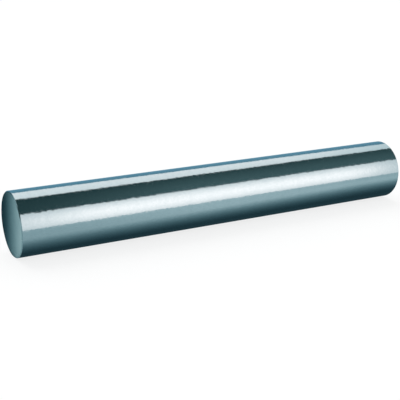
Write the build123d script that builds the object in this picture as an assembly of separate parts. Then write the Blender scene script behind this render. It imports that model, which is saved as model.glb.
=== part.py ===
"""Ground carbide round bar, cut to the length of a 12 mm milling-cutter blank.

The real piece is one rod of sintered tungsten carbide: pressed and sintered, ground round
between two wheels, parted to length, faced square at both ends, and the sharp corner of each
end broken so that it neither chips nor cuts. It has no bore, flat, step or thread.

Millimetres. The bar lies along X on the plane Z = 0, and the origin is the middle of the line
that it rests on. +Z is up.
"""

from build123d import *

import os

DIAMETER = 12.0      # ground outside, at its nominal size; the real bar is at most 0.011 smaller
LENGTH = 83.0        # over both end faces
EDGE_BREAK = 0.15    # each way, at 45 degrees, on the corner between each end and the outside

RADIUS = DIAMETER / 2


def half_section():
    """Half of the bar's lengthwise section: a strip on the axis with its outer corners broken."""
    with BuildSketch(Plane.XY) as strip:
        Rectangle(LENGTH, RADIUS, align=(Align.CENTER, Align.MIN))
        outer_corners = strip.vertices().group_by(Axis.Y)[-1]
        chamfer(outer_corners, length=EDGE_BREAK)
    return strip.sketch


def round_bar():
    """The whole bar: its half section turned once about its own axis, then laid on Z = 0."""
    turned = revolve(half_section(), axis=Axis.X, revolution_arc=360)
    return Pos(0, 0, RADIUS) * turned


os.makedirs("parts", exist_ok=True)
export_step(round_bar(), "parts/round_bar.step")
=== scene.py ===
import math

import bmesh
import bpy
from mathutils import Matrix, Vector


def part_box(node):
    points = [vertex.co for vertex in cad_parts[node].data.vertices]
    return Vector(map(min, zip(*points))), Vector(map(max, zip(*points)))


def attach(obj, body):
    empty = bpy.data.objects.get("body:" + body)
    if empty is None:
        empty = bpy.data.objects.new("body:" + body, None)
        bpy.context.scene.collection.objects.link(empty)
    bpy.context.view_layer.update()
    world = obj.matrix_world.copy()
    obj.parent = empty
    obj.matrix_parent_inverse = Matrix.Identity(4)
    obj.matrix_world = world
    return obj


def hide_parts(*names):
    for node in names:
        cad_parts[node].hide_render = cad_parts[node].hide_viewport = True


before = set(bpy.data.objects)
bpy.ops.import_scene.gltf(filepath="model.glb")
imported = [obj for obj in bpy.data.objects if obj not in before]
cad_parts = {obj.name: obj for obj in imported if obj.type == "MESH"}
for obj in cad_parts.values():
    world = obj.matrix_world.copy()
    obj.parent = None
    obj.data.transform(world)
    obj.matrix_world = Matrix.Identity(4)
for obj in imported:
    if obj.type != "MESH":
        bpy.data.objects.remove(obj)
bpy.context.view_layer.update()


# Ground carbide bar
# One rod of sintered tungsten carbide, ground round between two wheels until it mirrors,
# parted to length, faced square, and its sharp end corners broken by a light diamond pass.

MM = 0.001
bar_low, bar_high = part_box("round_bar")
BAR_LENGTH = bar_high.x - bar_low.x
BAR_RADIUS = (bar_high.z - bar_low.z) / 2
BAR_AXIS_Z = bar_low.z + BAR_RADIUS
CORNER_BREAK = 0.15 * MM
BREAK_ROUNDING = 0.02 * MM
SIDES = 288
SAME_PLACE = 0.0001 * MM

# A face leans by 0 on the ground outside and by 1 on an end face.
CONE_LEAN = math.sqrt(0.5)
SAME_LEAN = 0.001


def upright_disc(x, radius):
    """A disc square to the bar and centred on its axis, at a place along it."""
    bm = bmesh.new()
    bmesh.ops.create_circle(bm, cap_ends=True, segments=SIDES, radius=radius)
    bmesh.ops.rotate(bm, verts=bm.verts, matrix=Matrix.Rotation(math.radians(90), 3, "Y"))
    bmesh.ops.translate(bm, verts=bm.verts, vec=(x, 0, BAR_AXIS_Z))
    return bm


def rim_edges(bm, x):
    """The ring of edges at one end of the bar."""
    return [e for e in bm.edges if all(abs(v.co.x - x) < SAME_PLACE for v in e.verts)]


def turned_bar():
    """The near end's disc drawn out along X, its two rims broken at 45 degrees, and the edges
    of each break softened."""
    bm = upright_disc(bar_low.x, BAR_RADIUS)
    drawn = bmesh.ops.extrude_face_region(bm, geom=bm.faces[:], use_keep_orig=True)
    far_disc = [v for v in drawn["geom"] if isinstance(v, bmesh.types.BMVert)]
    bmesh.ops.translate(bm, verts=far_disc, vec=(BAR_LENGTH, 0, 0))
    rims = rim_edges(bm, bar_low.x) + rim_edges(bm, bar_high.x)
    broken = bmesh.ops.bevel(bm, geom=rims, offset=CORNER_BREAK, affect="EDGES",
                             segments=1, profile=0.5, material=-1)
    cone_faces = set(broken["faces"])
    borders = [e for e in bm.edges if sum(f in cone_faces for f in e.link_faces) == 1]
    bmesh.ops.bevel(bm, geom=borders, offset=BREAK_ROUNDING, affect="EDGES",
                    segments=3, profile=0.5, material=-1)
    bmesh.ops.recalc_face_normals(bm, faces=bm.faces)
    return bm


def lean(face):
    """How far a face is turned toward either end of the bar."""
    return abs(face.normal.x)


def face_slot(face):
    """0 for the ground outside, 1 for an end face, 2 for the broken corner between them."""
    if lean(face) > 1 - SAME_LEAN:
        return 1
    return 2 if lean(face) > SAME_LEAN else 0


def is_rounding(face):
    """Whether a face belongs to the tiny roundings beside the cones of the broken corners."""
    return face_slot(face) == 2 and abs(lean(face) - CONE_LEAN) > SAME_LEAN


def rank(place):
    """A number that rises with a place's X, and at the same X with its angle and its radius."""
    across, up = place.y, place.z - BAR_AXIS_Z
    return place.x / SAME_PLACE + math.atan2(up, across) + math.hypot(across, up)


def finish_bar(bm):
    """Every face's finish, straight faces kept from bending at the roundings, the end faces
    cut into a fan, and the mesh itself, with its parts in the same order each time."""
    for face in bm.faces:
        face.material_index = face_slot(face)
        face.smooth = True
    for edge in bm.edges:
        edge.smooth = sum(is_rounding(f) for f in edge.link_faces) != 1
    bmesh.ops.poke(bm, faces=[f for f in bm.faces if len(f.verts) == SIDES])
    bm.verts.sort(key=lambda vert: rank(vert.co))
    bm.faces.sort(key=lambda face: rank(face.calc_center_median()))
    mesh = bpy.data.meshes.new("ground_round_bar")
    bm.to_mesh(mesh)
    bm.free()
    return mesh


def bare_metal(name):
    """A metal with its nodes, its links and its shader, ready for patterns."""
    material = bpy.data.materials.new(name)
    material.use_nodes = True
    nodes = material.node_tree.nodes
    shader = nodes["Principled BSDF"]
    shader.inputs["Metallic"].default_value = 1.0
    return material, nodes, material.node_tree.links, shader


def marks(nodes, links, count, detail):
    """Noise on Object coordinates, with so many marks a metre along each axis."""
    place = nodes.new("ShaderNodeTexCoord")
    mapping = nodes.new("ShaderNodeMapping")
    mapping.inputs["Scale"].default_value = count
    noise = nodes.new("ShaderNodeTexNoise")
    noise.inputs["Scale"].default_value = 1.0
    noise.inputs["Detail"].default_value = detail
    links.new(place.outputs["Object"], mapping.inputs["Vector"])
    links.new(mapping.outputs["Vector"], noise.inputs["Vector"])
    return noise.outputs["Fac"]


def spread(nodes, links, source, low, high, start=0.3, stop=0.7):
    """A value brought from the range start to stop, by default the middle range of a noise,
    to the range low to high."""
    ranged = nodes.new("ShaderNodeMapRange")
    ranged.inputs["From Min"].default_value = start
    ranged.inputs["From Max"].default_value = stop
    ranged.inputs["To Min"].default_value = low
    ranged.inputs["To Max"].default_value = high
    links.new(source, ranged.inputs["Value"])
    return ranged.outputs["Result"]


def tone(nodes, links, source, dark, light):
    """A colour between two, by a pattern's value."""
    mix = nodes.new("ShaderNodeMix")
    mix.data_type = "RGBA"
    mix.inputs["A"].default_value = dark
    mix.inputs["B"].default_value = light
    links.new(source, mix.inputs["Factor"])
    return mix.outputs["Result"]


def relief(nodes, links, source, height, under=None):
    """A bump of the given height in metres, laid over another if there is one."""
    bump = nodes.new("ShaderNodeBump")
    bump.inputs["Strength"].default_value = 1.0
    bump.inputs["Distance"].default_value = height
    links.new(source, bump.inputs["Height"])
    if under is not None:
        links.new(under, bump.inputs["Normal"])
    return bump.outputs["Normal"]


def combine(nodes, links, operation, first, second):
    """Two values added or multiplied."""
    both = nodes.new("ShaderNodeMath")
    both.operation = operation
    links.new(first, both.inputs[0])
    links.new(second, both.inputs[1])
    return both.outputs["Value"]


CARBIDE_GREY = (0.32, 0.43, 0.455, 1.0)
CARBIDE_PALE = (0.36, 0.47, 0.495, 1.0)

# Each pattern's marks a metre along the bar and both ways across it, how much of the pale
# tone it brings, the roughness that it gives or adds, and its height.
CLOUDS = (260, 260, 260)
WHEEL_MARKS = (9000, 110, 110)
FEED_BANDS = (900, 60, 60)
GRAIN = (2200, 2200, 2200)
CLOUD_PALENESS = (0, 0.3)
BAND_PALENESS = (0, 0.3)
GRAIN_PALENESS = (-0.1, 0.5)
WHEEL_MARK_ROUGHNESS = (0.08, 0.13)
GRAIN_ROUGHNESS = (-0.04, 0.05)
WHEEL_MARK_HEIGHT = 0.0004 * MM
FEED_BAND_HEIGHT = 0.0006 * MM
GRAIN_HEIGHT = 0.014 * MM


def ground_outside():
    """Near-mirror cylindrical grinding: fine marks round the bar, with faint feed bands."""
    material, nodes, links, shader = bare_metal("Ground_outside")
    cloud = marks(nodes, links, CLOUDS, detail=4)
    wheel_marks = marks(nodes, links, WHEEL_MARKS, detail=3)
    feed_bands = marks(nodes, links, FEED_BANDS, detail=3)
    grain = marks(nodes, links, GRAIN, detail=2)
    clouded = combine(nodes, links, "ADD", spread(nodes, links, cloud, *CLOUD_PALENESS),
                      spread(nodes, links, feed_bands, *BAND_PALENESS))
    paleness = combine(nodes, links, "ADD", clouded, spread(nodes, links, grain, *GRAIN_PALENESS))
    links.new(tone(nodes, links, paleness, CARBIDE_GREY, CARBIDE_PALE), shader.inputs["Base Color"])
    gloss = combine(nodes, links, "ADD", spread(nodes, links, wheel_marks, *WHEEL_MARK_ROUGHNESS),
                    spread(nodes, links, grain, *GRAIN_ROUGHNESS))
    links.new(gloss, shader.inputs["Roughness"])
    fine = relief(nodes, links, wheel_marks, WHEEL_MARK_HEIGHT)
    banded = relief(nodes, links, feed_bands, FEED_BAND_HEIGHT, under=fine)
    links.new(relief(nodes, links, grain, GRAIN_HEIGHT, under=banded), shader.inputs["Normal"])
    return material


CARBIDE_END = (0.29, 0.4, 0.43, 1.0)
CARBIDE_END_PALE = (0.33, 0.445, 0.47, 1.0)
FACE_CLOUDS = (500, 500, 500)
FACE_MARKS = (100, 300, 6000)
FACE_ROUGHNESS = (0.1, 0.16)
FACE_MARK_HEIGHT = 0.0008 * MM


def ground_end():
    """Satin face grinding: straight fine marks across the disc, a shade darker than the outside."""
    material, nodes, links, shader = bare_metal("Ground_end_face")
    cloud = marks(nodes, links, FACE_CLOUDS, detail=4)
    face_marks = marks(nodes, links, FACE_MARKS, detail=4)
    links.new(tone(nodes, links, spread(nodes, links, cloud, 0, 1), CARBIDE_END, CARBIDE_END_PALE),
              shader.inputs["Base Color"])
    links.new(spread(nodes, links, face_marks, *FACE_ROUGHNESS), shader.inputs["Roughness"])
    links.new(relief(nodes, links, face_marks, FACE_MARK_HEIGHT), shader.inputs["Normal"])
    return material


PITS = (6000, 6000, 6000)
CORNER_ROUGHNESS = (0.18, 0.3)
PIT_HEIGHT = 0.001 * MM


def broken_corner():
    """The narrow cone at each end, a little rougher than the outside, with tiny pits."""
    material, nodes, links, shader = bare_metal("Broken_corner")
    pits = marks(nodes, links, PITS, detail=3)
    links.new(tone(nodes, links, spread(nodes, links, pits, 0, 1), CARBIDE_END, CARBIDE_PALE),
              shader.inputs["Base Color"])
    links.new(spread(nodes, links, pits, *CORNER_ROUGHNESS), shader.inputs["Roughness"])
    links.new(relief(nodes, links, pits, PIT_HEIGHT), shader.inputs["Normal"])
    return material


bar = bpy.data.objects.new("ground_round_bar", finish_bar(turned_bar()))
bpy.context.scene.collection.objects.link(bar)
for finish in (ground_outside(), ground_end(), broken_corner()):
    bar.data.materials.append(finish)
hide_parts("round_bar")
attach(bar, "root")


# Floor and room
# A plain pale studio floor under the bar, in an even white room. The floor keeps the bar's
# soft shadow, but where it is seen, also in metal, both it and the room are lifted to white.

FLOOR_HALF = 3.0
FLOOR_TONE = (0.86, 0.88, 0.89, 1.0)
SHADOW_LIFT = 0.75
LIFTED_LEVEL = 1.08
ROOM_WHITE = (1, 1, 1, 1)
ROOM_LEVEL = 0.5
SUN_LEVEL = 1.6
SUN_SPREAD = math.radians(60)
SUN_TILT = (math.radians(-35), 0, 0)


def studio_material(name):
    """A material for a thing of the studio: its nodes, its links and where its surface goes."""
    material = bpy.data.materials.new(name)
    material.use_nodes = True
    nodes, links = material.node_tree.nodes, material.node_tree.links
    nodes.clear()
    surface = nodes.new("ShaderNodeOutputMaterial").inputs["Surface"]
    return material, nodes, links, surface


def seen(nodes, links):
    """1 on the way to the camera, straight or by way of metal or glass, and 0 for mere light."""
    path = nodes.new("ShaderNodeLightPath")
    straight_or_metal = combine(nodes, links, "ADD", path.outputs["Is Camera Ray"],
                                path.outputs["Is Glossy Ray"])
    return combine(nodes, links, "ADD", straight_or_metal, path.outputs["Is Transmission Ray"])


def pale_card():
    """Matt pale card, of which a share glows white where it is seen."""
    material, nodes, links, surface = studio_material("Pale_floor")
    matt = nodes.new("ShaderNodeBsdfDiffuse")
    matt.inputs["Color"].default_value = FLOOR_TONE
    lift = nodes.new("ShaderNodeEmission")
    lift.inputs["Strength"].default_value = LIFTED_LEVEL
    both = nodes.new("ShaderNodeMixShader")
    links.new(spread(nodes, links, seen(nodes, links), 0, SHADOW_LIFT, start=0, stop=1),
              both.inputs["Fac"])
    links.new(matt.outputs["BSDF"], both.inputs[1])
    links.new(lift.outputs["Emission"], both.inputs[2])
    links.new(both.outputs["Shader"], surface)
    return material


def white_room():
    """The room all round: white where it is seen, and softer as a light."""
    world = bpy.data.worlds.new("white_room")
    world.use_nodes = True
    nodes, links = world.node_tree.nodes, world.node_tree.links
    nodes["Background"].inputs["Color"].default_value = ROOM_WHITE
    level = spread(nodes, links, seen(nodes, links), ROOM_LEVEL, 1, start=0, stop=1)
    links.new(level, nodes["Background"].inputs["Strength"])
    return world


def staged(name, bm, material):
    """A bmesh made a thing of the studio, with its material."""
    mesh = bpy.data.meshes.new(name)
    bm.to_mesh(mesh)
    bm.free()
    mesh.materials.append(material)
    thing = bpy.data.objects.new(name, mesh)
    bpy.context.scene.collection.objects.link(thing)
    return thing


def level_sheet(name, low, high, height, material):
    """A flat sheet from one corner to the other, in metres, at a height over the floor."""
    bm = bmesh.new()
    bmesh.ops.create_grid(bm, x_segments=1, y_segments=1, size=0.5)
    bmesh.ops.scale(bm, verts=bm.verts, vec=(high[0] - low[0], high[1] - low[1], 1))
    middle = ((low[0] + high[0]) / 2, (low[1] + high[1]) / 2, height)
    bmesh.ops.translate(bm, verts=bm.verts, vec=middle)
    return staged(name, bm, material)


level_sheet("floor", (-FLOOR_HALF, -FLOOR_HALF), (FLOOR_HALF, FLOOR_HALF), bar_low.z, pale_card())
bpy.context.scene.world = white_room()
sun = bpy.data.objects.new("sun", bpy.data.lights.new("sun", "SUN"))
sun.data.energy = SUN_LEVEL
sun.data.angle = SUN_SPREAD
sun.rotation_euler = SUN_TILT
sun.visible_glossy = False
bpy.context.scene.collection.objects.link(sun)


# Card tent
# What polished metal shows is the studio round it. Curved cards stand over the bar like a
# light tent, from front to back: a warm softbox, a dark card, a pale card and a blue foot.

TENT_RADIUS = 46.9 * MM
TENT_REACH = 260 * MM
TENT_STEPS = 24

# Where each card ends, in degrees round the tent from the front, at its near and its far end.
SOFTBOX_FOOT = (-6.5, -6.5)
SOFTBOX_TOP = (40.6, 47.4)
DARK_TOP = (107.3, 93.3)
PALE_FOOT = (151.4, 121.2)
FLOOR_BEHIND = 180 + math.degrees(math.asin(BAR_RADIUS / TENT_RADIUS))
TENT_BACK = (FLOOR_BEHIND, FLOOR_BEHIND)


def glossy_only(thing):
    """A card or film that only metal sees: it takes no part in the floor's light or shadow."""
    thing.visible_camera = False
    thing.visible_diffuse = False
    thing.visible_shadow = False
    thing.visible_transmission = False


def tent_point(x, angle):
    """A place on the tent, by its angle in degrees above the front horizon."""
    turn = math.radians(angle)
    return (x, -TENT_RADIUS * math.cos(turn), BAR_AXIS_Z + TENT_RADIUS * math.sin(turn))


def eased(nodes, links, source, start, stop):
    """0 before start and 1 after stop, which may be the lower of the two, and smooth between."""
    ramp = nodes.new("ShaderNodeMapRange")
    ramp.interpolation_type = "SMOOTHSTEP"
    ramp.inputs["From Min"].default_value = start
    ramp.inputs["From Max"].default_value = stop
    links.new(source, ramp.inputs["Value"])
    return ramp.outputs["Result"]


def window(nodes, links, source, start, full, full_end, end):
    """1 from full to full_end, and easing to 0 by start and by end."""
    return combine(nodes, links, "MULTIPLY", eased(nodes, links, source, start, full),
                   eased(nodes, links, source, end, full_end))


def glow(name, edge_colour, core_colour, core_angle, reach, along):
    """Light of core_colour on the tent's line at core_angle, within a window along X, and of
    edge_colour at a reach from that line and outside the window."""
    material, nodes, links, surface = studio_material(name)
    core = tent_point(0, core_angle)
    place = nodes.new("ShaderNodeTexCoord")
    axes = nodes.new("ShaderNodeSeparateXYZ")
    mapping = nodes.new("ShaderNodeMapping")
    mapping.inputs["Scale"].default_value = (0, 1 / reach, 1 / reach)
    mapping.inputs["Location"].default_value = (0, -core[1] / reach, -core[2] / reach)
    round_core = nodes.new("ShaderNodeTexGradient")
    round_core.gradient_type = "SPHERICAL"
    light = nodes.new("ShaderNodeEmission")
    links.new(place.outputs["Object"], axes.inputs["Vector"])
    links.new(place.outputs["Object"], mapping.inputs["Vector"])
    links.new(mapping.outputs["Vector"], round_core.inputs["Vector"])
    share = combine(nodes, links, "MULTIPLY", eased(nodes, links, round_core.outputs["Fac"], 0, 1),
                    window(nodes, links, axes.outputs["X"], *along))
    links.new(tone(nodes, links, share, (*edge_colour, 1), (*core_colour, 1)), light.inputs["Color"])
    links.new(light.outputs["Emission"], surface)
    return material


def tent_card(name, start, stop, material):
    """A curved card along the bar, between its angles at the tent's near and far end. It is
    a flat sheet one step wide, whose corners are brought to their places on the tent."""
    bm = bmesh.new()
    bmesh.ops.create_grid(bm, x_segments=1, y_segments=TENT_STEPS, size=1)
    for corner in bm.verts:
        far = corner.co.x > 0
        share = (corner.co.y + 1) / 2
        angle = start[far] + (stop[far] - start[far]) * share
        corner.co = tent_point(TENT_REACH if far else -TENT_REACH, angle)
    glossy_only(staged(name, bm, material))


tent_card("front_softbox", SOFTBOX_FOOT, SOFTBOX_TOP,
          glow("Front_softbox", edge_colour=(1.25, 1.18, 1.2), core_colour=(2.65, 2.13, 2.07),
               core_angle=16, reach=34 * MM, along=(-50 * MM, -4 * MM, 58 * MM, 82 * MM)))
tent_card("dark_card", SOFTBOX_TOP, DARK_TOP,
          glow("Dark_card", edge_colour=(0.03, 0.07, 0.075), core_colour=(0.117, 0.193, 0.202),
               core_angle=50, reach=55 * MM, along=(-50 * MM, 20 * MM, 60 * MM, 150 * MM)))
tent_card("back_card", DARK_TOP, PALE_FOOT,
          glow("Back_card", edge_colour=(1.1, 1.15, 1.18), core_colour=(1.72, 1.53, 1.52),
               core_angle=117, reach=90 * MM, along=(-120 * MM, -30 * MM, 40 * MM, 90 * MM)))
tent_card("blue_foot", PALE_FOOT, TENT_BACK,
          glow("Blue_foot", edge_colour=(0.165, 0.355, 0.485), core_colour=(0.185, 0.405, 0.54),
               core_angle=150, reach=90 * MM, along=(-120 * MM, -30 * MM, 40 * MM, 120 * MM)))


# Films of painted reflection and painted shade
# Under the tent a tinted film lies on the floor: a painted reflection tone, teal and a little dim,
# with painted shade before the bar's ends. A feathered dark strip below the bar is a painted
# contact shadow in the bar's underside. A round graded one stands close before the near end face,
# and darkens it toward its back with painted shade.

# How much light the painted shade lets through where it is darkest, how strongly it takes each
# colour, and how far each film is from what lies behind it.
DARKEST = 0.082
PAINTED_SHADE_STRENGTH = (1.28, 1, 0.93)
FILM_GAP = 0.05 * MM

# The tinted film's tint, and its dimming before the bar's ends, are a painted reflection tone and
# painted shade in what the bar mirrors of the floor.
PAINTED_REFLECTION_TINT = (0.79, 0.89, 0.925)
FILM_EVEN = (-40 * MM, 5 * MM, 25 * MM, 90 * MM)
FILM_DIMS = 0.22
FILM_FRONT = -8 * MM
# The strip is a painted contact shadow under the bar, which the bar's underside mirrors.
CONTACT_SHADOW_TINT = (1, 1, 1)
STRIP_DARK_HALF = 3.6 * MM
STRIP_CLEAR_HALF = 13.9 * MM
STRIP_TAPER = (1.12, 0.87)
STRIP_HALF = STRIP_CLEAR_HALF / min(STRIP_TAPER)
STRIP_FEATHER = 0.8 * MM
STRIP_ALONG = (bar_low.x - STRIP_FEATHER, bar_low.x + STRIP_FEATHER,
               bar_high.x + 6 * MM, bar_high.x + 18 * MM)
# The near shade is painted shade on the near end face, darker toward its back and top.
SHADE_TINT = (0.74, 0.84, 0.825)
SHADE_RADIUS = BAR_RADIUS + 0.1 * MM
SHADE_SLANT = (0, 1, 0.114)
SHADE_DEEPENS = (-7.5 * MM, 5.75 * MM)


def vector_step(nodes, links, operation, vector, parts):
    """A vector's parts, each raised to a power or multiplied by a part of another."""
    step = nodes.new("ShaderNodeVectorMath")
    step.operation = operation
    step.inputs[1].default_value = parts
    links.new(vector, step.inputs[0])
    return step.outputs["Vector"]


def film(name, clear_colour, cover):
    """A see-through film with a painted shade that darkens it, and takes red first. cover gives the
    painted shade's share, from none at 0 to all that the film holds at 1, by the place on it."""
    material, nodes, links, surface = studio_material(name)
    clear = nodes.new("ShaderNodeBsdfTransparent")
    place = nodes.new("ShaderNodeTexCoord")
    painted_shade = cover(nodes, links, place.outputs["Object"])
    passed = spread(nodes, links, painted_shade, 1, DARKEST, start=0, stop=1)
    shaded_through = vector_step(nodes, links, "POWER", passed, PAINTED_SHADE_STRENGTH)
    links.new(vector_step(nodes, links, "MULTIPLY", shaded_through, clear_colour), clear.inputs["Color"])
    links.new(clear.outputs["BSDF"], surface)
    return material


def painted_reflection_cover(nodes, links, place):
    """A light painted shade before both ends of the bar, and none before its middle or behind it."""
    axes = nodes.new("ShaderNodeSeparateXYZ")
    links.new(place, axes.inputs["Vector"])
    even = window(nodes, links, axes.outputs["X"], *FILM_EVEN)
    return combine(nodes, links, "MULTIPLY",
                   spread(nodes, links, even, FILM_DIMS, 0, start=0, stop=1),
                   eased(nodes, links, axes.outputs["Y"], 0, FILM_FRONT))


def painted_contact_shadow_cover(nodes, links, place):
    """A painted contact shadow: black along the line that the bar rests on, wider toward the far
    end, and clear at both sides and past both ends."""
    axes = nodes.new("ShaderNodeSeparateXYZ")
    links.new(place, axes.inputs["Vector"])
    taper = spread(nodes, links, axes.outputs["X"], *STRIP_TAPER, start=bar_low.x, stop=bar_high.x)
    across = combine(nodes, links, "MULTIPLY", axes.outputs["Y"], taper)
    under = window(nodes, links, across, -STRIP_CLEAR_HALF, -STRIP_DARK_HALF,
                   STRIP_DARK_HALF, STRIP_CLEAR_HALF)
    return combine(nodes, links, "MULTIPLY", under,
                   window(nodes, links, axes.outputs["X"], *STRIP_ALONG))


def painted_end_face_shade_cover(nodes, links, place):
    """Painted shade on the near end face: clear on the front side and dark on the back, a little
    more so toward the top.
    """
    slant = nodes.new("ShaderNodeVectorMath")
    slant.operation = "DOT_PRODUCT"
    slant.inputs[1].default_value = SHADE_SLANT
    links.new(place, slant.inputs[0])
    return eased(nodes, links, slant.outputs["Value"], *SHADE_DEEPENS)


# Painted reflection tone: a tinted film on the floor, seen only by metal.
glossy_only(level_sheet("painted_floor_reflection", (-TENT_REACH, -TENT_RADIUS), (TENT_REACH, TENT_RADIUS),
                        bar_low.z + FILM_GAP, film("Painted_floor_reflection", PAINTED_REFLECTION_TINT, painted_reflection_cover)))
# Painted contact shadow: a dark strip under the bar, seen only by metal.
glossy_only(level_sheet("painted_contact_shadow", (STRIP_ALONG[0], -STRIP_HALF), (STRIP_ALONG[-1], STRIP_HALF),
                        bar_low.z + 2 * FILM_GAP, film("Painted_contact_shadow", CONTACT_SHADOW_TINT, painted_contact_shadow_cover)))
# Painted shade on the near end face: a graded film standing close before it, seen only by metal.
glossy_only(staged("painted_end_face_shade", upright_disc(bar_low.x - FILM_GAP, SHADE_RADIUS),
                   film("Painted_end_face_shade", SHADE_TINT, painted_end_face_shade_cover)))


# Camera
# It stands at the photograph's place: to the left of square-on and a little above the bar,
# with a long lens, level from side to side.

CAMERA_LENS = 78.3
CAMERA_SENSOR = 36
CAMERA_CLEAR = 10 * MM
CAMERA_AZIMUTH = math.radians(28.89)
CAMERA_HEIGHT = math.radians(16.27)
CAMERA_AWAY = 171.65 * MM
CAMERA_AIM = Vector((-3.03, 1.26, 4.76)) * MM

forward = Vector((math.sin(CAMERA_AZIMUTH) * math.cos(CAMERA_HEIGHT),
                  math.cos(CAMERA_AZIMUTH) * math.cos(CAMERA_HEIGHT),
                  -math.sin(CAMERA_HEIGHT)))
camera = bpy.data.objects.new("camera", bpy.data.cameras.new("camera"))
camera.data.lens = CAMERA_LENS
camera.data.sensor_width = CAMERA_SENSOR
camera.data.clip_start = CAMERA_CLEAR
camera.location = CAMERA_AIM - forward * CAMERA_AWAY
camera.rotation_euler = forward.to_track_quat("-Z", "Y").to_euler()
bpy.context.scene.collection.objects.link(camera)
bpy.context.scene.camera = camera
bpy.context.scene.view_settings.view_transform = "Standard"
